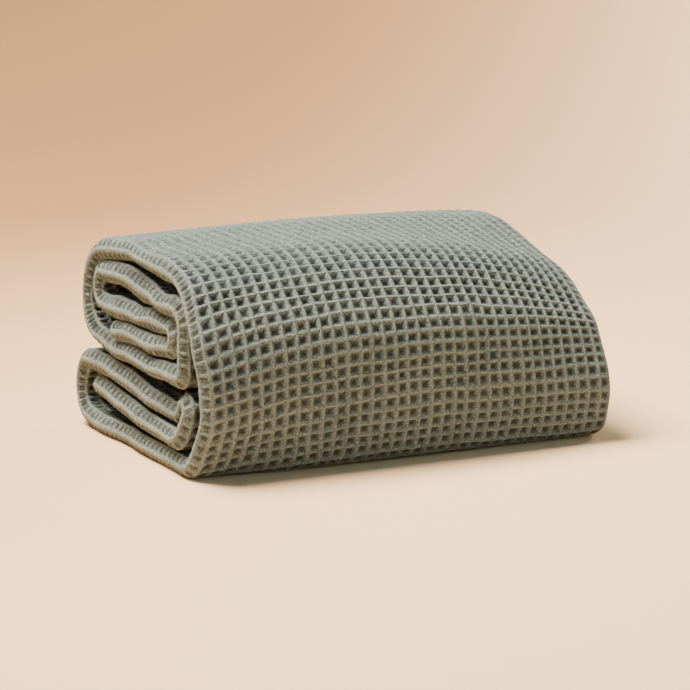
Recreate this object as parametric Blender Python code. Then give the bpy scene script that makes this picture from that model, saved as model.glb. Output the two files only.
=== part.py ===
"""A waffle weave cotton blanket, folded up for a shelf or the foot of a bed.

Metres, +Z up. X runs along the bundle, -Y is its front, and it rests on z = 0.

One cloth is folded in four across its width, so that it becomes a long band of four leaves, and
the band is then folded back and forth. The folds of the four leaves are the rounded end at -X,
and their hems are at +X. The band's own route, seen from -X, runs from an end inside the upper
half, over the top, down the big rounded front, along the bottom, and back inside the lower half.
"""

import math
from collections import namedtuple

import bmesh
import bpy
from mathutils import Matrix, Vector

# Driving dimensions of the cloth
BUNDLE_LENGTH = 0.345
LEAF_THICKNESS = 0.0032
LEAF_PITCH = 0.0037
LEAVES = 4

# How finely the folds are divided
SPANS_ALONG_LEAF = 3
TIGHT_LOOP_SPANS = 3
WIDE_LOOP_SPANS = 4
BEND_STEP = math.radians(45)

# The band's route from end to end: where its middle line would turn if its bends were sharp,
# the radius of each bend, and how much thicker than flat the four leaves lie there.
# y runs back from the front edge of the bundle's foot, and z up from its underside.
Turn = namedtuple("Turn", "y z radius loft")
ROUTE = (
    Turn(0.1564, 0.0870, 0.000, 1.00),  # free end inside the upper half
    Turn(0.1094, 0.0870, 0.080, 1.00),
    Turn(0.0370, 0.0884, 0.008, 1.00),  # narrow fold behind the front
    Turn(0.0380, 0.1044, 0.008, 1.00),
    Turn(0.1094, 0.1045, 0.060, 1.00),
    Turn(0.1639, 0.1030, 0.030, 1.00),
    Turn(0.1931, 0.1045, 0.011, 1.00),  # loop with a hollow in it
    Turn(0.1921, 0.1290, 0.012, 1.00),
    Turn(0.1517, 0.1310, 0.040, 1.08),
    Turn(0.0700, 0.1220, 0.100, 1.06),
    Turn(0.0185, 0.1183, 0.016, 1.00),  # down behind the front
    Turn(0.0185, 0.0910, 0.025, 1.00),
    Turn(0.0180, 0.0712, 0.008, 1.00),
    Turn(0.1000, 0.0702, 0.200, 1.00),  # underside of the upper half
    Turn(0.1677, 0.0728, 0.080, 1.00),
    Turn(0.2109, 0.0820, 0.030, 1.00),  # wide loop at the back of the upper half
    Turn(0.2152, 0.1430, 0.036, 1.00),
    Turn(0.1470, 0.1490, 0.150, 1.00),  # top
    Turn(0.0310, 0.1455, 0.070, 1.00),
    Turn(-0.0140, 0.0990, 0.050, 1.00),  # front
    Turn(-0.0155, 0.0450, 0.035, 1.00),
    Turn(0.0050, 0.00715, 0.020, 1.00),
    Turn(0.1987, 0.00715, 0.090, 1.00),  # flat underside, then the lower half's back loop
    Turn(0.2401, 0.0130, 0.020, 1.00),
    Turn(0.2278, 0.0545, 0.019, 1.05),
    Turn(0.1705, 0.0550, 0.100, 1.18),
    Turn(0.1047, 0.0475, 0.100, 1.15),
    Turn(0.0310, 0.0412, 0.012, 1.00),  # turned up behind the front, and doubled back
    Turn(0.0215, 0.0572, 0.008, 1.00),
    Turn(0.0075, 0.0492, 0.008, 1.00),
    Turn(0.0220, 0.0242, 0.022, 1.00),
    Turn(0.1000, 0.0260, 0.100, 1.05),
    Turn(0.1517, 0.0280, 0.100, 1.05),
    Turn(0.1996, 0.0310, 0.000, 1.00),  # free end inside the lower half
)

# How the bundle differs along its length, from the rounded end (0) to the hems (1): its height,
# and how far its upper front edge slumps and tucks back
Place = namedtuple("Place", "share height slump tuck")
UNEVEN = (
    Place(0.00, 1.015, 0.000, 0.0000),
    Place(0.33, 1.055, 0.002, 0.0000),
    Place(0.67, 1.073, 0.010, 0.0040),
    Place(1.00, 1.052, 0.033, 0.0180),
)
SLUMP_FROM_Y, SLUMP_TO_Y = 0.195, 0.030
SLUMP_FROM_Z, SLUMP_TO_Z = 0.050, 0.150
TUCK_FROM_Y, TUCK_TO_Y = 0.120, -0.020
TUCK_FROM_Z, TUCK_TO_Z = 0.030, 0.095
EDGE_WANDER = 0.0025
EDGE_WANDER_LENGTH = 0.310

SAGE = (0.335, 0.350, 0.290, 1.0)
COTTON_ROUGHNESS = 0.95


def clear_scene():
    for obj in list(bpy.data.objects):
        bpy.data.objects.remove(obj, do_unlink=True)


def loop(centre_x, centre_offset, radius, first_angle, turn, spans):
    """Points and directions round a loop that joins two leaves, without its first point."""
    points = []
    for i in range(1, spans + 1):
        angle = first_angle + turn * i / spans
        outward = Vector((math.cos(angle), math.sin(angle)))
        centre = Vector((centre_x, centre_offset))
        points.append((centre + outward * radius, outward * -math.copysign(1, turn)))
    return points


def leaf(from_x, to_x, offset):
    """Points and directions along a leaf, without its first point."""
    aside = Vector((0, math.copysign(1, to_x - from_x)))
    steps = [i / SPANS_ALONG_LEAF for i in range(1, SPANS_ALONG_LEAF + 1)]
    return [(Vector((from_x + (to_x - from_x) * step, offset)), aside) for step in steps]


def cloth_across():
    """The cloth's outline across its width, as (x, offset from the band's middle) all round it.

    The middle line runs from hem to hem through the four leaves and their three folds, and the
    outline goes out along one of its sides and back along the other.
    """
    inner = LEAF_PITCH / 2
    outer = LEAF_PITCH * (LEAVES - 1) / 2
    left = -BUNDLE_LENGTH / 2 + outer + LEAF_THICKNESS / 2
    hems = BUNDLE_LENGTH / 2
    right = hems - inner - LEAF_THICKNESS / 2
    half_turn = math.pi
    middle = [(Vector((hems, -inner)), Vector((0, -1)))]
    middle += leaf(hems, left, -inner)
    middle += loop(left, 0, inner, -half_turn / 2, -half_turn, TIGHT_LOOP_SPANS)
    middle += leaf(left, right, inner)
    middle += loop(right, inner + inner, inner, -half_turn / 2, half_turn, TIGHT_LOOP_SPANS)
    middle += leaf(right, left, outer)
    middle += loop(left, 0, outer, half_turn / 2, half_turn, WIDE_LOOP_SPANS)
    middle += leaf(left, hems, -outer)
    one_side = [point + aside * LEAF_THICKNESS / 2 for point, aside in middle]
    other_side = [point - aside * LEAF_THICKNESS / 2 for point, aside in middle]
    return one_side + other_side[::-1]


Station = namedtuple("Station", "place across loft run")


def bend_stations(before, turn, after):
    """Places along one bend of the route, each with the direction across the band there."""
    here = Vector((turn.y, turn.z))
    arriving = (here - Vector((before.y, before.z))).normalized()
    leaving = (Vector((after.y, after.z)) - here).normalized()
    angle = math.atan2(arriving.cross(leaving), arriving.dot(leaving))
    side = math.copysign(1, angle)
    across = Vector((-arriving.y, arriving.x))
    start = here - arriving * turn.radius * math.tan(abs(angle) / 2)
    centre = start + across * side * turn.radius
    steps = max(1, math.ceil(abs(angle) / BEND_STEP))
    for i in range(steps + 1):
        turned = Matrix.Rotation(angle * i / steps, 2) @ across
        yield centre - turned * side * turn.radius, turned, turn.loft


def band_stations():
    """Every place along the route where the cloth's cross line is laid, with its distance."""
    places = []
    ends = ((ROUTE[0], ROUTE[1], ROUTE[0]), (ROUTE[-2], ROUTE[-1], ROUTE[-1]))
    square = []
    for first, second, end in ends:
        ahead = Vector((second.y - first.y, second.z - first.z)).normalized()
        square.append((Vector((end.y, end.z)), Vector((-ahead.y, ahead.x)), end.loft))
    places.append(square[0])
    for before, turn, after in zip(ROUTE, ROUTE[1:], ROUTE[2:]):
        places += bend_stations(before, turn, after)
    places.append(square[1])
    stations = []
    run = 0.0
    for place, across, loft in places:
        if stations:
            run += (place - stations[-1].place).length
        stations.append(Station(place, across, loft, run))
    return stations


def between(share, name):
    """The value of a column of UNEVEN at a share of the bundle's length."""
    for low, high in zip(UNEVEN, UNEVEN[1:]):
        if share <= high.share:
            break
    part = (share - low.share) / (high.share - low.share)
    return getattr(low, name) * (1 - part) + getattr(high, name) * part


def smooth_step(low, high, value):
    part = min(max((value - low) / (high - low), 0.0), 1.0)
    return part * part * (3 - 2 * part)


def settle(x, y, z):
    """Moves a point of the even bundle to where it lies in the uneven one. z = 0 stays flat."""
    share = min(max(x / BUNDLE_LENGTH + 0.5, 0.0), 1.0)
    slumps = smooth_step(SLUMP_FROM_Y, SLUMP_TO_Y, y) * smooth_step(SLUMP_FROM_Z, SLUMP_TO_Z, z)
    tucks = smooth_step(TUCK_FROM_Y, TUCK_TO_Y, y) * smooth_step(TUCK_FROM_Z, TUCK_TO_Z, z)
    settled = z * between(share, "height") - between(share, "slump") * slumps
    return Vector((x, y + between(share, "tuck") * tucks, settled))


def join_rings(cloth, ring, following):
    """Fills the cloth's surface between two stations. Every leaf is split the same way, so that
    leaves which lie together stay clear of each other."""
    for i in range(len(ring)):
        a, b = ring[i - 1], ring[i]
        c, d = following[i - 1], following[i]
        if a.co.x < b.co.x:
            cloth.faces.new((a, c, d))
            cloth.faces.new((a, d, b))
        else:
            cloth.faces.new((a, c, b))
            cloth.faces.new((b, c, d))


def close_end(cloth, ring):
    """Fills the cloth's outline at one end of the band, from side to side across its thickness."""
    for i in range(len(ring) // 2 - 1):
        cloth.faces.new((ring[i], ring[i + 1], ring[-i - 2], ring[-i - 1]))


def cloth_solid():
    """The whole cloth: its outline laid at each station, and joined from each to the next."""
    cloth = bmesh.new()
    rings = []
    outline = cloth_across()
    for station in band_stations():
        wander = EDGE_WANDER * math.sin(station.run / EDGE_WANDER_LENGTH * math.tau)
        ring = []
        for x, offset in outline:
            y, z = station.place + station.across * offset * station.loft
            ring.append(cloth.verts.new(settle(x + wander, y, z)))
        rings.append(ring)
    for ring, following in zip(rings, rings[1:]):
        join_rings(cloth, ring, following)
    close_end(cloth, rings[0])
    close_end(cloth, rings[-1])
    bmesh.ops.recalc_face_normals(cloth, faces=cloth.faces)
    return cloth


def stand_on_origin(mesh):
    """Shifts the mesh so that the middle of its footprint is at the origin."""
    lows = [min(v.co[axis] for v in mesh.vertices) for axis in range(2)]
    highs = [max(v.co[axis] for v in mesh.vertices) for axis in range(2)]
    mesh.transform(Matrix.Translation((-(lows[0] + highs[0]) / 2, -(lows[1] + highs[1]) / 2, 0)))


def cotton():
    material = bpy.data.materials.new("sage_cotton")
    material.use_nodes = True
    shader = material.node_tree.nodes["Principled BSDF"]
    shader.inputs["Base Color"].default_value = SAGE
    shader.inputs["Roughness"].default_value = COTTON_ROUGHNESS
    shader.inputs["Metallic"].default_value = 0.0
    return material


def make_blanket():
    mesh = bpy.data.meshes.new("blanket")
    cloth = cloth_solid()
    cloth.to_mesh(mesh)
    cloth.free()
    stand_on_origin(mesh)
    mesh.shade_smooth()
    mesh.materials.append(cotton())
    blanket = bpy.data.objects.new("blanket", mesh)
    bpy.context.scene.collection.objects.link(blanket)


clear_scene()
make_blanket()
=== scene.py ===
"""Looks of the folded waffle weave cotton blanket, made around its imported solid.

The cloth is one piece, folded in four across its width and then back and forth along a route.
It is modelled in four stretches that meet where neighbouring folds hide the joins. On every
side that shows, the weave's cells are real relief: ridges round sunken pits.

Sizes are in metres, and columns and rows of the weave in cells. A range is a pair: where
something starts, and where it is complete.
"""

import math
from collections import namedtuple

import bpy
import numpy as np
from mathutils import Matrix, Vector
from mathutils.geometry import tessellate_polygon


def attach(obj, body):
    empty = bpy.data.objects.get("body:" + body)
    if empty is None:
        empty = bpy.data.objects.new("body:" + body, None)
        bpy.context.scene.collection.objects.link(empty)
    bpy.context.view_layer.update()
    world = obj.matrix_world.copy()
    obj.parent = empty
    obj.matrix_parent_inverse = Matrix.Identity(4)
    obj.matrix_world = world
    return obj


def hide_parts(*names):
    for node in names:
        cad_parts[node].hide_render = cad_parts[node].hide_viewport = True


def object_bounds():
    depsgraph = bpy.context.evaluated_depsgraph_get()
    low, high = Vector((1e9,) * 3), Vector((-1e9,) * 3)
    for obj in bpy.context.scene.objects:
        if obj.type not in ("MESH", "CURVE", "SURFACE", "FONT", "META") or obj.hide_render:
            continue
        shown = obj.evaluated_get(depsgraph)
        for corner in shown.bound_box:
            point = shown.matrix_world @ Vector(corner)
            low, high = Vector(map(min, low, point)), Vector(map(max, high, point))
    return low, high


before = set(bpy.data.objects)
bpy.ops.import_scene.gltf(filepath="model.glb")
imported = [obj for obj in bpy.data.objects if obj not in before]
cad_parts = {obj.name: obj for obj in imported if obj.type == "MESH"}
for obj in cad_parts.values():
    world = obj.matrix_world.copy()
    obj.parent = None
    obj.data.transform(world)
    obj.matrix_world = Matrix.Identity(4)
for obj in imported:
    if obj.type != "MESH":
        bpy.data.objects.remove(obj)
cad_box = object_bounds()

# The cloth, as its solid has it
BUNDLE_LENGTH = 0.345
LEAF_THICKNESS = 0.0032
LEAF_PITCH = 0.0037
LEAVES = 4

# The weave: ridges round sunken pits, those that run along the columns a little the prouder
COLUMN_PITCH = 0.0100
ROW_PITCH = 0.0084
RIDGE_PROUD = 0.0009
PIT_DEPTH = 0.0035
ROW_RIDGE_LOWER = 0.10
DEPTH_VARIES = 0.18

# Where the mesh is cut across each column and each row, and how deep the weave is at distances
# from a ridge
COLUMN_CUTS = (0.0, 0.055, 0.41, 0.59, 0.945)
ROW_CUTS = (0.0, 0.065, 0.41, 0.59, 0.935)
PIT_EDGES = (0.0, 0.06, 0.41, 0.50)
PIT_DEPTHS = (0.0, 0.10, 0.94, 1.00)

# A face is shaded flat where the depth at its corners differs by more than this
FLAT_WALL = 0.30

# How far the ridges stray, and how quickly along the weave
RIDGE_WANDER = 0.0009
Rate = namedtuple("Rate", "by_column by_row")
ROWS_WANDER = Rate(0.40, 0.70)
COLUMNS_WANDER = Rate(0.70, 0.35)

# Round the folded end each row closes to two ribs with slits between, and the ridge at the tip
# is broad: where the same cuts of a row or column lie there, and how deep the weave is at them
FOLD_ROW_CUTS = (0.0, 0.25, 0.43, 0.57, 0.75, 1.0)
FOLD_ROW_DEPTHS = (0.0, 0.60, 0.10, 0.10, 0.60, 0.0)
FOLD_COLUMN_CUTS = (0.0, 0.16, 0.44, 0.62, 0.90, 1.0)
FOLD_COLUMNS = (1.4, 0.9)

# How the relief fades: in from a hem, past the last columns that show, in the fold by the hems,
# and where a bend squeezes the band to a share of its length
HEM_COLUMNS_PLAIN = (0.15, 0.75)
SHOWING_ENDS_IN = 0.8
HEM_FOLD_RELIEF = 0.3
SQUEEZED_SHARE = (0.25, 0.80)

# How near to a hem the last cut across may lie
LAST_CUT = 0.1

# The band's route from end to end. It keeps close to the solid's, with some inner folds fuller
# and the lower free end a little higher. Each row is where its middle line would turn if its
# bends were sharp, the radius of the bend, and how much thicker than flat the leaves lie there.
Turn = namedtuple("Turn", "y z radius loft")
ROUTE = (
    Turn(0.1564, 0.0870, 0.000, 1.00),  # free end inside the upper half
    Turn(0.1094, 0.0870, 0.080, 1.00),
    Turn(0.0370, 0.0884, 0.008, 1.00),  # narrow fold behind the front
    Turn(0.0380, 0.1044, 0.008, 1.00),
    Turn(0.1094, 0.1045, 0.060, 1.16),
    Turn(0.1639, 0.1030, 0.030, 1.16),
    Turn(0.1931, 0.1045, 0.011, 1.00),  # loop with a hollow in it
    Turn(0.1921, 0.1290, 0.012, 1.06),
    Turn(0.1517, 0.1305, 0.040, 1.24),
    Turn(0.0700, 0.1220, 0.100, 1.14),
    Turn(0.0185, 0.1183, 0.016, 1.00),  # down behind the front
    Turn(0.0185, 0.0910, 0.025, 1.00),
    Turn(0.0180, 0.0712, 0.008, 1.00),
    Turn(0.1000, 0.0702, 0.200, 1.00),  # underside of the upper half
    Turn(0.1677, 0.0728, 0.080, 1.00),
    Turn(0.2109, 0.0820, 0.030, 1.00),  # wide loop at the back of the upper half
    Turn(0.2152, 0.1430, 0.036, 1.00),
    Turn(0.1470, 0.1490, 0.150, 1.00),  # top
    Turn(0.0310, 0.1455, 0.070, 1.00),
    Turn(-0.0140, 0.0990, 0.050, 1.00),  # front
    Turn(-0.0155, 0.0450, 0.035, 1.00),
    Turn(0.0050, 0.00715, 0.020, 1.00),
    Turn(0.1987, 0.00715, 0.090, 1.00),  # flat underside, then the lower half's back loop
    Turn(0.2401, 0.0130, 0.020, 1.00),
    Turn(0.2278, 0.0545, 0.019, 1.05),
    Turn(0.1705, 0.0550, 0.100, 1.18),
    Turn(0.1047, 0.0475, 0.100, 1.15),
    Turn(0.0310, 0.0412, 0.012, 1.00),  # turned up behind the front, and doubled back
    Turn(0.0215, 0.0572, 0.008, 1.00),
    Turn(0.0075, 0.0492, 0.008, 1.00),
    Turn(0.0220, 0.0242, 0.022, 1.00),
    Turn(0.1000, 0.0268, 0.100, 1.12),
    Turn(0.1517, 0.0318, 0.100, 1.14),
    Turn(0.1996, 0.0364, 0.000, 1.08),  # free end inside the lower half
)

# How finely the route is followed, and how softly its bends and its thickness ease in
ROUTE_STEP = 0.0005
BEND_EASE = 0.004
LOFT_EASE = 0.032

# How the bundle differs along its length, from the rounded end (0) to the hems (1): its height,
# how far its upper front edge slumps and tucks back, and how far the rows are drawn down there
Place = namedtuple("Place", "share height slump tuck row_drop")
UNEVEN = (
    Place(0.00, 1.015, 0.000, 0.0000, 0.0090),
    Place(0.33, 1.055, 0.002, 0.0000, -0.0030),
    Place(0.67, 1.073, 0.010, 0.0040, -0.0040),
    Place(1.00, 1.052, 0.033, 0.0180, -0.0020),
)
SLUMP_Y = (0.195, 0.030)
SLUMP_Z = (0.050, 0.150)
TUCK_Y = (0.120, -0.020)
TUCK_Z = (0.030, 0.095)

# The rows over which the weave is drawn down round the front, and let go again underneath
DRAWN_ROWS = (94, 113)
LET_GO_ROWS = (150, 132)

# How far the lower front edge bulges forward, away from the folded end
BELLY = 0.009
BELLY_SHARE = (0.02, 0.30)
BELLY_Y = (0.070, 0.010)
BELLY_Z = (0.050, 0.006)

# How far the folded end goes in and out along the band, and how far in from the end that is felt
END_WANDER = 0.0040
END_WANDER_LENGTH = 0.055
WANDER_SHARE = (0.20, 0.0)

# How softly the bundle's faces swell and dip, and over what length
SWELL = 0.0014
SWELL_LENGTH = 0.095

# How crumpled the folds are by the folded end, and over what length
CRUMPLE = 0.0022
CRUMPLE_LENGTH = 0.024
CRUMPLE_SHARE = (0.22, 0.0)

# The heights over which swells and crumples come in, above the surface that the bundle lies on
FREE_Z = (0.012, 0.110)

# Where in their noise the wander and the swells are read, each far enough off to be unlike
WANDER_AT = 0.5
SWELL_AT = (7.3, 3.1)
LEAN_AT = (40.6, 21.7)
CRUMPLE_BACK_AT = (90.2, 11.0)
CRUMPLE_UP_AT = (60.7, 77.4)

# The cloth's stretches: the rows of the weave between the joins, and whether the whole outer
# side shows or only what can be seen into from the two ends
Stretch = namedtuple("Stretch", "name first_row last_row outside_shows")
STRETCHES = (
    Stretch("upper_inner_folds", 0, 78, False),
    Stretch("top_and_front", 78, 135, True),
    Stretch("underside", 135, 176, True),
    Stretch("lower_inner_folds", 176, 211, False),
)

# How many columns show at the two ends, how far apart the points lie on what doesn't show, and
# how many spans the bends across the cloth have
END_COLUMNS = 3
HEM_COLUMNS = 2
HIDDEN_STEP = 0.034
LINING_STEP = 0.017
TIGHT_SPANS = 3
HEM_SPANS = 4
MIDDLE_SPANS = 5
WIDE_SPANS = 6

RANDOM_SEED = 11


def smooth_step(low, high, value):
    """From 0 at low to 1 at high, eased; low may be the higher number."""
    part = np.clip((value - low) / (high - low), 0.0, 1.0)
    return part * part * (3 - 2 * part)


def along(share, name):
    """A column of UNEVEN as a smooth curve of the share of the bundle's length."""
    shares = [place.share for place in UNEVEN]
    values = [getattr(place, name) for place in UNEVEN]
    curve = np.polynomial.Polynomial.fit(shares, values, len(UNEVEN) - 1)
    return curve(np.clip(share, 0.0, 1.0))


class SoftNoise:
    """Smooth random values from -1 to 1 over two coordinates, one lattice point to a unit."""

    def __init__(self, draws, size=512):
        self.size = size
        self.lattice = draws.uniform(-1.0, 1.0, (size, size))

    def __call__(self, a, b):
        a, b = np.broadcast_arrays(a, b)
        low_a = np.floor(a).astype(int)
        low_b = np.floor(b).astype(int)
        part_a = smooth_step(0, 1, a - low_a)
        part_b = smooth_step(0, 1, b - low_b)
        near = self.at(low_a, low_b) * (1 - part_a) + self.at(low_a + 1, low_b) * part_a
        far = self.at(low_a, low_b + 1) * (1 - part_a) + self.at(low_a + 1, low_b + 1) * part_a
        return near * (1 - part_b) + far * part_b

    def at(self, a, b):
        return self.lattice[a % self.size, b % self.size]

    def cell(self, a, b):
        """One value for the whole of each cell."""
        return self.at(np.floor(a).astype(int), np.floor(b).astype(int))


draws = np.random.default_rng(RANDOM_SEED)
pit_noise = SoftNoise(draws)
ridge_noise = SoftNoise(draws)
row_noise = SoftNoise(draws)
swell_noise = SoftNoise(draws)
end_noise = SoftNoise(draws)


class Route:
    """The band's middle line, by distance along it."""

    def __init__(self, turns):
        points, lofts = self.corner_points(turns)
        steps = np.hypot(*np.diff(points, axis=0).T)
        run = np.concatenate(([0.0], np.cumsum(steps)))
        self.run = np.arange(0.0, run[-1], ROUTE_STEP)
        even = np.column_stack([np.interp(self.run, run, points[:, i]) for i in range(2)])
        even_lofts = np.interp(self.run, run, lofts)[:, None]
        self.points = self.eased(even, BEND_EASE)
        self.loft = self.eased(even_lofts, LOFT_EASE)[:, 0]
        ahead = np.gradient(self.points, ROUTE_STEP, axis=0)
        self.heading = np.unwrap(np.arctan2(ahead[:, 1], ahead[:, 0]))
        self.bend = np.gradient(self.heading, ROUTE_STEP)

    @staticmethod
    def corner_points(turns):
        """The line with its bends as arcs, and how thick the band is at each point."""
        points = [(turns[0].y, turns[0].z)]
        lofts = [turns[0].loft]
        for before, turn, after in zip(turns, turns[1:], turns[2:]):
            here = Vector((turn.y, turn.z))
            arriving = (here - Vector((before.y, before.z))).normalized()
            leaving = (Vector((after.y, after.z)) - here).normalized()
            turned = arriving.x * leaving.y - arriving.y * leaving.x
            angle = math.atan2(turned, arriving.dot(leaving))
            inward = Vector((-arriving.y, arriving.x)) * math.copysign(1, angle)
            start = here - arriving * turn.radius * math.tan(abs(angle) / 2)
            centre = start + inward * turn.radius
            steps = max(2, math.ceil(abs(angle) * turn.radius / ROUTE_STEP))
            for i in range(steps + 1):
                spoke = Matrix.Rotation(angle * i / steps, 2) @ inward
                points.append(tuple(centre - spoke * turn.radius))
                lofts.append(turn.loft)
        points.append((turns[-1].y, turns[-1].z))
        lofts.append(turns[-1].loft)
        return np.array(points), np.array(lofts)

    @staticmethod
    def eased(values, reach):
        """A moving average over a reach both ways, which leaves the two ends where they are."""
        window = round(reach / ROUTE_STEP)
        padded = np.pad(values, ((window, window), (0, 0)), mode="reflect", reflect_type="odd")
        weights = np.hanning(2 * window + 3)[1:-1]
        weights /= weights.sum()
        return np.column_stack([np.convolve(column, weights, "valid") for column in padded.T])

    def at(self, run, offset):
        """Points at distances along the route and offsets across it, past its ends too."""
        inside = np.clip(run, self.run[0], self.run[-1])
        past = run - inside
        heading = np.interp(inside, self.run, self.heading)
        offset = offset * np.interp(inside, self.run, self.loft)
        y = np.interp(inside, self.run, self.points[:, 0])
        z = np.interp(inside, self.run, self.points[:, 1])
        y = y + past * np.cos(heading) - offset * np.sin(heading)
        z = z + past * np.sin(heading) + offset * np.cos(heading)
        return y, z

    def squeeze(self, run, offset):
        """How much shorter than its middle line the band is at an offset, in each bend."""
        return 1 - np.interp(run, self.run, self.bend) * offset


# One point of the cloth's outline across its width. aside is the way out of the cloth there,
# column its place in the weave, relief how much of the weave's relief it has.
Across = namedtuple("Across", "x offset aside_x aside_offset column relief")

INNER = LEAF_PITCH / 2
OUTER = LEAF_PITCH * (LEAVES - 1) / 2
THICK = LEAF_THICKNESS / 2
LEFT = -BUNDLE_LENGTH / 2 + OUTER + THICK
HEMS = BUNDLE_LENGTH / 2
RIGHT = HEMS - INNER - THICK


def loop_across(centre_x, centre_offset, radius, first, turn, spans):
    """A bend of the outline, without its two ends."""
    points = []
    for i in range(1, spans):
        angle = first + turn * i / spans
        out_x = math.cos(angle)
        out_offset = math.sin(angle)
        x = centre_x + radius * out_x
        column = (x - LEFT) / COLUMN_PITCH
        points.append(Across(x, centre_offset + radius * out_offset, out_x, out_offset, column, 0.0))
    return points


def leaf_across(from_x, to_x, offset, facing, step=HIDDEN_STEP):
    """One side of a leaf that lies against another."""
    spans = round(abs(to_x - from_x) / step)
    xs = [from_x + (to_x - from_x) * i / spans for i in range(spans + 1)]
    return [Across(x, offset, 0.0, facing, (x - LEFT) / COLUMN_PITCH, 0.0) for x in xs]


def outline_across(outside_shows):
    """The cloth's outline across its width: out along its hidden side, and back along its outer."""
    half = math.pi
    quarter = math.pi / 2
    return [
        *leaf_across(HEMS, LEFT, -INNER - THICK, -1),
        *loop_across(LEFT, 0, INNER + THICK, -quarter, -half, MIDDLE_SPANS),
        *leaf_across(LEFT, RIGHT, INNER + THICK, 1),
        *loop_across(RIGHT, 2 * INNER, INNER - THICK, -quarter, half, TIGHT_SPANS),
        *leaf_across(RIGHT, LEFT, OUTER - THICK, -1),
        *loop_across(LEFT, 0, OUTER - THICK, quarter, half, WIDE_SPANS),
        *leaf_across(LEFT, HEMS, -OUTER + THICK, 1, LINING_STEP),
        *loop_across(HEMS, -OUTER, THICK, quarter, -half, HEM_SPANS),
        *weave_across(outside_shows),
        *leaf_across(RIGHT, LEFT, INNER - THICK, -1),
        *loop_across(LEFT, 0, INNER - THICK, quarter, half, TIGHT_SPANS),
        *leaf_across(LEFT, HEMS, -INNER + THICK, 1),
        *loop_across(HEMS, -INNER, THICK, quarter, -half, HEM_SPANS),
    ]


def weave_across(outside_shows):
    """The outer side: the outer leaf from its hem, round the folded end, and back to the fold
    that joins it to the next leaf. Columns are counted from the tip of the folded end."""
    quarter = math.pi / 2
    radius = OUTER + THICK
    corner = quarter * radius / COLUMN_PITCH
    to_hem = corner + (HEMS - LEFT) / COLUMN_PITCH
    to_fold = corner + (RIGHT - LEFT) / COLUMN_PITCH
    hidden_columns = round(HIDDEN_STEP / COLUMN_PITCH)

    def shows(column, end):
        near_ends = column <= END_COLUMNS or column >= end - HEM_COLUMNS
        return near_ends or column % hidden_columns == 0

    def relief(column, end, all_shows):
        near_hem = smooth_step(*HEM_COLUMNS_PLAIN, end - column)
        if all_shows:
            return near_hem
        by_end = smooth_step(END_COLUMNS, END_COLUMNS - SHOWING_ENDS_IN, column)
        by_hem = smooth_step(end - HEM_COLUMNS, end - HEM_COLUMNS + SHOWING_ENDS_IN, column)
        return near_hem * max(by_end, by_hem)

    def place(column, side, amount):
        lies = column
        if column < 1:
            lies = np.interp(column, (*COLUMN_CUTS, 1.0), FOLD_COLUMN_CUTS)
        angle = min(lies / corner, 1.0) * quarter
        x = LEFT - radius * math.cos(angle)
        if lies > corner:
            x = LEFT + (lies - corner) * COLUMN_PITCH
        aside = (-math.cos(angle), side * math.sin(angle))
        return Across(x, side * radius * math.sin(angle), *aside, side * column, amount)

    def columns(end, all_shows):
        cuts = [whole + cut for whole in range(int(end) + 1) for cut in COLUMN_CUTS]
        return [cut for cut in cuts if cut < end - LAST_CUT and (all_shows or shows(cut, end))]

    points = [place(to_hem, -1, 0.0)]
    for column in reversed(columns(to_hem, outside_shows)):
        points.append(place(column, -1, relief(column, to_hem, outside_shows)))
    for column in columns(to_fold, False)[1:]:
        points.append(place(column, 1, relief(column, to_fold, False)))
    return points + joining_fold(to_fold)


def joining_fold(first_column):
    """The outside of the fold beside the hems, from the outer leaf round to the next."""
    quarter = math.pi / 2
    radius = INNER + THICK
    points = []
    for i in range(WIDE_SPANS + 1):
        angle = quarter - math.pi * i / WIDE_SPANS
        out_x = math.cos(angle)
        out_offset = math.sin(angle)
        column = first_column + radius * (quarter - angle) / COLUMN_PITCH
        spot = (RIGHT + radius * out_x, 2 * INNER + radius * out_offset)
        points.append(Across(*spot, out_x, out_offset, column, HEM_FOLD_RELIEF))
    return points


def at_fold(column):
    """1 round the folded end, and 0 on the flat leaves."""
    return smooth_step(*FOLD_COLUMNS, np.abs(column))


def pit(column, row):
    """How deep the weave is at a place, from 0 on a ridge to 1 in a pit."""
    by_column = np.interp(np.abs(column - np.round(column)), PIT_EDGES, PIT_DEPTHS)
    by_row = np.interp(np.abs(row - np.round(row)), PIT_EDGES, PIT_DEPTHS)
    ribbed = np.interp(row % 1, (*ROW_CUTS, 1.0), FOLD_ROW_DEPTHS)
    by_row = by_row + (ribbed - by_row) * at_fold(column)
    return np.minimum(by_column, ROW_RIDGE_LOWER + (1 - ROW_RIDGE_LOWER) * by_row)


def soft(a, b, length, at):
    """The swells' noise over two coordinates, at a length, read from a place in it."""
    return swell_noise(a / length + at[0], b / length + at[1])


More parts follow.
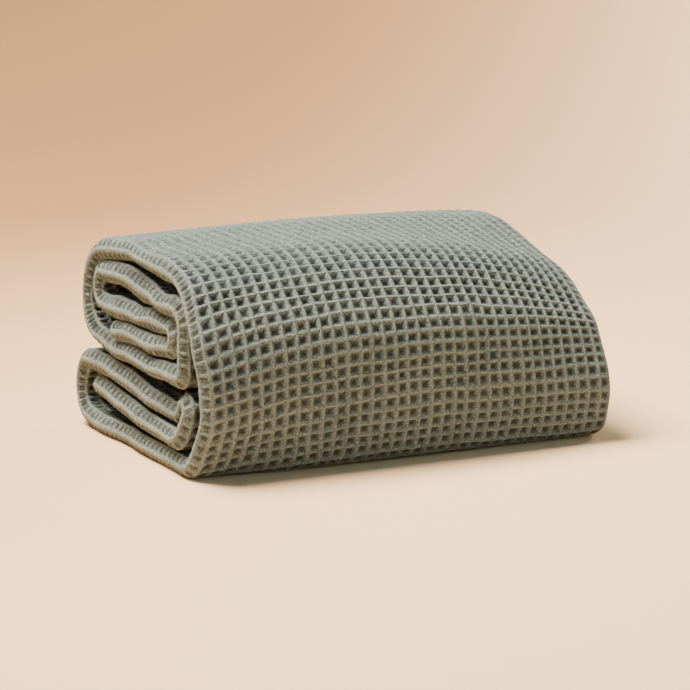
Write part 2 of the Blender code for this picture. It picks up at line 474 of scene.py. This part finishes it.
def settle(x, y, z):
    """The bundle's unevenness along its length, and its soft swells and dips."""
    share = x / BUNDLE_LENGTH + 0.5
    slumps = smooth_step(*SLUMP_Y, y) * smooth_step(*SLUMP_Z, z)
    tucks = smooth_step(*TUCK_Y, y) * smooth_step(*TUCK_Z, z)
    bulges = smooth_step(*BELLY_SHARE, share) * smooth_step(*BELLY_Y, y) * smooth_step(*BELLY_Z, z)
    free = smooth_step(*FREE_Z, z)
    crumpled = CRUMPLE * smooth_step(*CRUMPLE_SHARE, share) * free
    y_settled = y + along(share, "tuck") * tucks - BELLY * bulges
    y_settled = y_settled + SWELL * soft(x, z, SWELL_LENGTH, LEAN_AT) * free
    y_settled = y_settled + soft(y, z, CRUMPLE_LENGTH, CRUMPLE_BACK_AT) * crumpled
    z_settled = z * along(share, "height") - along(share, "slump") * slumps
    z_settled = z_settled + SWELL * soft(x, y, SWELL_LENGTH, SWELL_AT) * free
    z_settled = z_settled + soft(y, z, CRUMPLE_LENGTH, CRUMPLE_UP_AT) * crumpled
    return y_settled, z_settled


def sheet_points(route, stretch):
    """The stretch's points, station by station, with each one's place in the weave."""
    outline = outline_across(stretch.outside_shows)
    points = {name: np.array([getattr(p, name) for p in outline]) for name in Across._fields}
    rows = [row + cut for row in range(stretch.first_row, stretch.last_row) for cut in ROW_CUTS]
    row = np.array([*rows, stretch.last_row])[:, None]
    column = np.broadcast_to(points["column"], (len(row), len(outline)))
    share = np.clip(points["x"] / BUNDLE_LENGTH + 0.5, 0, 1)

    drawn = smooth_step(*DRAWN_ROWS, row) * smooth_step(*LET_GO_ROWS, row)
    ribbed = np.floor(row) + np.interp(row % 1, (*ROW_CUTS, 1.0), FOLD_ROW_CUTS)
    lies = row + (ribbed - row) * at_fold(column)
    run = lies * ROW_PITCH + along(share, "row_drop") * drawn
    strays = row_noise(column * ROWS_WANDER.by_column, row * ROWS_WANDER.by_row)
    run = run + RIDGE_WANDER * strays

    depth = pit(column, row) * (1 + DEPTH_VARIES * pit_noise.cell(column, row))
    squeeze = smooth_step(*SQUEEZED_SHARE, route.squeeze(run, points["offset"]))
    out = (RIDGE_PROUD - PIT_DEPTH * depth) * points["relief"] * squeeze

    strays = ridge_noise(column * COLUMNS_WANDER.by_column, row * COLUMNS_WANDER.by_row)
    by_end = smooth_step(*WANDER_SHARE, share)
    x = points["x"] + out * points["aside_x"] + RIDGE_WANDER * strays * points["relief"]
    x = x + END_WANDER * end_noise(run / END_WANDER_LENGTH, WANDER_AT) * by_end
    y, z = route.at(run, points["offset"] + out * points["aside_offset"])
    y, z = settle(x, y, z)
    return np.stack([x, y, np.maximum(z, 0.0)], axis=-1), column, row, depth * points["relief"]


def end_cap(outline):
    """Triangles that close a stretch's end, over its outline across the cloth."""
    flat = [Vector((p.x, p.offset, 0.0)) for p in outline]
    return [tuple(triangle) for triangle in tessellate_polygon([flat])]


def side_triangles(depth):
    """Triangles between the rings of points, each four split towards the pit they lie in."""
    rings, around = depth.shape
    start = np.arange(rings - 1)[:, None] * around
    here = np.arange(around)[None, :]
    following = (here + 1) % around
    quads = np.stack([start + here, start + following, start + around + following,
                      start + around + here], axis=-1).reshape(-1, 4)
    deep = depth.ravel()[quads]
    other_way = deep[:, [1, 3]].max(axis=1) > deep[:, [0, 2]].max(axis=1)
    quads[other_way] = np.roll(quads[other_way], -1, axis=1)
    return quads[:, [0, 1, 2, 0, 2, 3]].reshape(-1, 3)


def cloth_piece(name, points, column, row, depth, caps):
    """A closed piece of cloth from its rings of points, with its places in the weave as a map.
    The pits' walls are shaded flat."""
    rings, around = depth.shape
    sides = side_triangles(depth)
    last = (rings - 1) * around
    ends = [triangle[::-1] for triangle in caps]
    ends += [tuple(last + i for i in triangle) for triangle in caps]
    mesh = bpy.data.meshes.new(name)
    mesh.from_pydata(points.reshape(-1, 3).tolist(), [], sides.tolist() + ends)
    smooth = np.zeros(len(mesh.polygons), bool)
    smooth[:len(sides)] = np.ptp(depth.ravel()[sides], axis=1) < FLAT_WALL
    mesh.polygons.foreach_set("use_smooth", smooth)
    mesh.update()
    piece = bpy.data.objects.new(name, mesh)
    bpy.context.scene.collection.objects.link(piece)
    places = np.stack([column, np.broadcast_to(row, column.shape)], axis=-1)
    corners = np.empty(len(mesh.loops), int)
    mesh.loops.foreach_get("vertex_index", corners)
    weave = mesh.uv_layers.new(name="weave")
    weave.data.foreach_set("uv", places.reshape(-1, 2)[corners].astype(np.float32).ravel())
    return piece


def make_cloth():
    """The four stretches, set over the middle of the solid's box."""
    route = Route(ROUTE)
    made = [(stretch, *sheet_points(route, stretch)) for stretch in STRETCHES]
    low = min(points[..., 1].min() for _, points, *_ in made)
    high = max(points[..., 1].max() for _, points, *_ in made)
    middle = (cad_box[0][1] + cad_box[1][1]) / 2
    pieces = []
    for stretch, points, *weave in made:
        points[..., 1] += middle - (low + high) / 2
        caps = end_cap(outline_across(stretch.outside_shows))
        pieces.append(cloth_piece(stretch.name, points, *weave, caps))
    return pieces


class Value:
    """A socket that Python's operators work on by adding Math nodes."""

    def __init__(self, nodes, socket):
        self.nodes = nodes
        self.socket = socket

    def _math(self, operation, *inputs):
        return self.nodes.add("ShaderNodeMath", {"operation": operation}, dict(enumerate(inputs)))

    def __add__(self, other):
        return self._math("ADD", self, other)

    __radd__ = __add__

    def __sub__(self, other):
        return self._math("SUBTRACT", self, other)

    def __rsub__(self, other):
        return self._math("SUBTRACT", other, self)

    def __mul__(self, other):
        return self._math("MULTIPLY", self, other)

    __rmul__ = __mul__

    def __abs__(self):
        return self._math("ABSOLUTE", self)

    def least(self, other):
        return self._math("MINIMUM", self, other)

    def most(self, other):
        return self._math("MAXIMUM", self, other)

    def sine(self):
        return self._math("SINE", self)

    def to_and_fro(self, most):
        """Up to a number and back to 0, over and over."""
        return self._math("PINGPONG", self, most)

    def step(self, low, high):
        """From 0 at low to 1 at high, eased."""
        settings = {"interpolation_type": "SMOOTHSTEP"}
        inputs = {"Value": self, "From Min": low, "From Max": high}
        return self.nodes.add("ShaderNodeMapRange", settings, inputs)


class Nodes:
    """A material's nodes, added by type."""

    def __init__(self, name):
        self.material = bpy.data.materials.new(name)
        self.material.use_nodes = True
        self.tree = self.material.node_tree
        self.shader = self.tree.nodes["Principled BSDF"]

    def add(self, kind, settings=None, inputs=None, output=0):
        node = self.tree.nodes.new(kind)
        for name, value in (settings or {}).items():
            setattr(node, name, value)
        for name, value in (inputs or {}).items():
            self.put(node.inputs[name], value)
        return Value(self, node.outputs[output])

    def put(self, socket, value):
        if isinstance(value, Value):
            self.tree.links.new(value.socket, socket)
        else:
            socket.default_value = value

    def shade(self, inputs):
        """Sets or links the sockets of the material's shader."""
        for name, value in inputs.items():
            self.put(self.shader.inputs[name], value)

    def mix(self, factor, first, second, blend="MIX"):
        """Two colours mixed by a factor. The node's colours are its inputs 6 and 7 and output 2."""
        settings = {"data_type": "RGBA", "blend_type": blend}
        inputs = {0: factor, 6: first, 7: second}
        return self.add("ShaderNodeMix", settings, inputs, output=2)

    def noise(self, vector, grain):
        inputs = {"Vector": vector, "Scale": grain.scale, "Detail": grain.detail,
                  "Roughness": grain.roughness}
        return self.add("ShaderNodeTexNoise", None, inputs)

    def axis(self, vector, name):
        return self.add("ShaderNodeSeparateXYZ", None, {0: vector}, output=name)


# The cotton's colours: its ridges, and its pits darker, partly the cotton's own deeper colour
# and partly painted shade of the hollows; and how far from a ridge, in cells, that darkening
# starts and is complete. Round the folded end the slits have a share of it.
RIDGE_COLOUR = (0.208, 0.262, 0.256, 1.0)
PIT_COLOUR_AND_SHADE = (0.042, 0.055, 0.055, 1.0)
PIT_SHADE_REACH = (0.03, 0.40)
FOLD_PIT_SHADE_SHARE = 0.72

# Its grain, from fine to coarse, and the threads round each pit
Grain = namedtuple("Grain", "scale detail roughness")
FUZZ = Grain(750.0, 3.0, 0.7)
LUMPS = Grain(330.0, 2.0, 0.5)
PATCHES = Grain(25.0, 2.0, 0.5)
GRAIN_MIDDLE = 0.5
THREADS_PER_CELL = 9

# How strongly each lightens and darkens the cotton, and how strongly it stands out
FUZZ_TONE = 3.0
LUMPS_TONE = 0.9
PATCHES_TONE = 0.25
THREADS_TONE = 0.06
DARKEST_TONE = 0.25
THREADS_HEIGHT = 0.15
FUZZ_HEIGHT = 1.6
LUMPS_HEIGHT = 1.2

COTTON_BUMP = {"Strength": 0.9, "Distance": 0.0022}
COTTON_FINISH = {
    "Roughness": 0.92,
    "Specular IOR Level": 0.25,
    "Sheen Weight": 0.10,
    "Sheen Roughness": 0.5,
    "Sheen Tint": (0.9, 0.9, 0.84, 1.0),
}


def cotton(name):
    """Sage cotton in a waffle weave, from its place in the weave, in cells: threads round each
    pit, fuzz over all, and the pits darker, partly the cotton's deeper colour there and partly
    painted shade of the hollows."""
    nodes = Nodes(name)
    weave = nodes.add("ShaderNodeUVMap", {"uv_map": "weave"})
    column = nodes.axis(weave, "X")
    row = nodes.axis(weave, "Y")
    off_ridge = column.to_and_fro(0.5).least(row.to_and_fro(0.5))
    fold_from, fold_fully = FOLD_COLUMNS
    flat_leaf = abs(column).step(fold_fully, fold_from)
    # Painted shade in the pits, with a share of it in the slits round the folded end
    pit_shade = off_ridge.step(*PIT_SHADE_REACH) * (FOLD_PIT_SHADE_SHARE + (1 - FOLD_PIT_SHADE_SHARE) * flat_leaf)

    threads = (off_ridge * (THREADS_PER_CELL * 2 * math.pi)).sine()
    spot = nodes.add("ShaderNodeTexCoord", output="Object")
    fuzz = nodes.noise(spot, FUZZ)
    lumps = nodes.noise(spot, LUMPS)
    patches = nodes.noise(spot, PATCHES)

    light = 1.0 + FUZZ_TONE * (fuzz - GRAIN_MIDDLE) + LUMPS_TONE * (lumps - GRAIN_MIDDLE)
    light = light + PATCHES_TONE * (patches - GRAIN_MIDDLE) + THREADS_TONE * threads
    light = light.most(DARKEST_TONE)
    grey = nodes.add("ShaderNodeCombineColor", None, {0: light, 1: light, 2: light})
    # Ridges to pits darker: partly the cotton's deeper colour, partly painted shade
    colour_with_pit_shade = nodes.mix(pit_shade, RIDGE_COLOUR, PIT_COLOUR_AND_SHADE)
    colour = nodes.mix(1.0, colour_with_pit_shade, grey, "MULTIPLY")
    height = THREADS_HEIGHT * threads + FUZZ_HEIGHT * fuzz + LUMPS_HEIGHT * lumps
    bump = nodes.add("ShaderNodeBump", None, {**COTTON_BUMP, "Height": height})
    nodes.shade({"Base Color": colour, "Normal": bump, **COTTON_FINISH})
    return nodes.material


def dress(pieces):
    material = cotton("sage_cotton_looks")
    for piece, stretch in zip(pieces, STRETCHES):
        piece.data.materials.append(material)
        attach(piece, "root")
        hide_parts("blanket")
        length = (stretch.last_row - stretch.first_row) * ROW_PITCH


# The paper sweep: a flat floor, and a rim that curves up all round, out of the camera's way
FLOOR_RADIUS = 1.4
RIM_RADIUS = 2.2
RIM_TURN = math.radians(65.0)
RIM_SPANS = 16
SWEEP_SPANS = 96

# Its colours, from front right to back left, where it is darker and deeper in colour as painted
# shade: how much that goes by what lies to the right, and the distances over which one turns
# into the other
NEAR_PAPER = (0.90, 0.62, 0.38, 1.0)
SHADED_FAR_PAPER = (0.47, 0.262, 0.128, 1.0)
PAPER_SHADE_SIDEWAYS = 0.9
PAPER_SHADE_TURNS = (-0.5, 1.3)
PAPER_FINISH = {"Roughness": 0.9, "Specular IOR Level": 0.1}


def paper(name):
    """Matt paper in a warm colour that runs into a darker one towards the back left: painted shade.
    """
    nodes = Nodes(name)
    spot = nodes.add("ShaderNodeTexCoord", output="Object")
    # Painted shade: the paper turns darker towards the back left
    far = nodes.axis(spot, "Y") - PAPER_SHADE_SIDEWAYS * nodes.axis(spot, "X")
    colour = nodes.mix(far.step(*PAPER_SHADE_TURNS), NEAR_PAPER, SHADED_FAR_PAPER)
    nodes.shade({"Base Color": colour, **PAPER_FINISH})
    return nodes.material


def make_sweep():
    rings = [(FLOOR_RADIUS / 2, 0.0), (FLOOR_RADIUS, 0.0)]
    for i in range(1, RIM_SPANS + 1):
        angle = RIM_TURN * i / RIM_SPANS
        radius = FLOOR_RADIUS + RIM_RADIUS * math.sin(angle)
        rings.append((radius, RIM_RADIUS * (1 - math.cos(angle))))
    points = [(0.0, 0.0, 0.0)]
    for radius, z in rings:
        for i in range(SWEEP_SPANS):
            angle = 2 * math.pi * i / SWEEP_SPANS
            points.append((radius * math.cos(angle), radius * math.sin(angle), z))
    faces = [(0, 1 + i, 1 + (i + 1) % SWEEP_SPANS) for i in range(SWEEP_SPANS)]
    for ring in range(len(rings) - 1):
        inner = 1 + ring * SWEEP_SPANS
        outer = inner + SWEEP_SPANS
        for i in range(SWEEP_SPANS):
            following = (i + 1) % SWEEP_SPANS
            faces.append((inner + i, outer + i, outer + following, inner + following))
    mesh = bpy.data.meshes.new("paper_sweep")
    mesh.from_pydata(points, [], faces)
    mesh.shade_smooth()
    mesh.materials.append(paper("paper"))
    sweep = bpy.data.objects.new("paper_sweep", mesh)
    bpy.context.scene.collection.objects.link(sweep)


# The lamps, each a soft disc that faces its target, and the sky's even light
Lamp = namedtuple("Lamp", "name place target size power colour")
LAMPS = (
    Lamp("window_key", (-0.64, 0.42, 1.92), (0.0, 0.0, 0.05), 1.2, 200.0, (1.0, 0.88, 0.71)),
    Lamp("soft_fill", (-0.2, -1.9, 1.2), (0.0, 0.0, 0.05), 1.6, 12.0, (0.28, 0.76, 1.0)),
    Lamp("paper_light", (2.6, 0.9, 1.3), (1.7, 2.6, 0.1), 1.0, 120.0, (1.0, 0.93, 0.80)),
)
SKY_COLOUR = (0.38, 0.82, 1.0, 1.0)
SKY_STRENGTH = 0.15


def aim(thing, place, target):
    thing.location = place
    thing.rotation_euler = (Vector(target) - Vector(place)).to_track_quat("-Z", "Y").to_euler()


def light_the_room():
    for lamp in LAMPS:
        source = bpy.data.lights.new(lamp.name, "AREA")
        source.shape = "DISK"
        source.size = lamp.size
        source.energy = lamp.power
        source.color = lamp.colour
        light = bpy.data.objects.new(lamp.name, source)
        bpy.context.scene.collection.objects.link(light)
        aim(light, lamp.place, lamp.target)
    world = bpy.data.worlds.new("room")
    bpy.context.scene.world = world
    world.use_nodes = True
    background = world.node_tree.nodes["Background"]
    background.inputs["Color"].default_value = SKY_COLOUR
    background.inputs["Strength"].default_value = SKY_STRENGTH


# The camera: how far round to the left and up it stands, how far off, what it looks at, and its
# lens and sensor in millimetres
AZIMUTH = math.radians(27.0)
ELEVATION = math.radians(10.0)
DISTANCE = 1.65
LOOKS_AT = Vector((-0.0026, -0.0193, 0.0725))
LENS = 109.6
SENSOR = 36.0


def place_camera():
    lens = bpy.data.cameras.new("camera")
    lens.lens = LENS
    lens.sensor_width = SENSOR
    camera = bpy.data.objects.new("camera", lens)
    bpy.context.scene.collection.objects.link(camera)
    left = math.cos(ELEVATION) * math.sin(AZIMUTH)
    forward = math.cos(ELEVATION) * math.cos(AZIMUTH)
    away = DISTANCE * Vector((-left, -forward, math.sin(ELEVATION)))
    aim(camera, LOOKS_AT + away, LOOKS_AT)
    bpy.context.scene.camera = camera


dress(make_cloth())
make_sweep()
light_the_room()
place_camera()
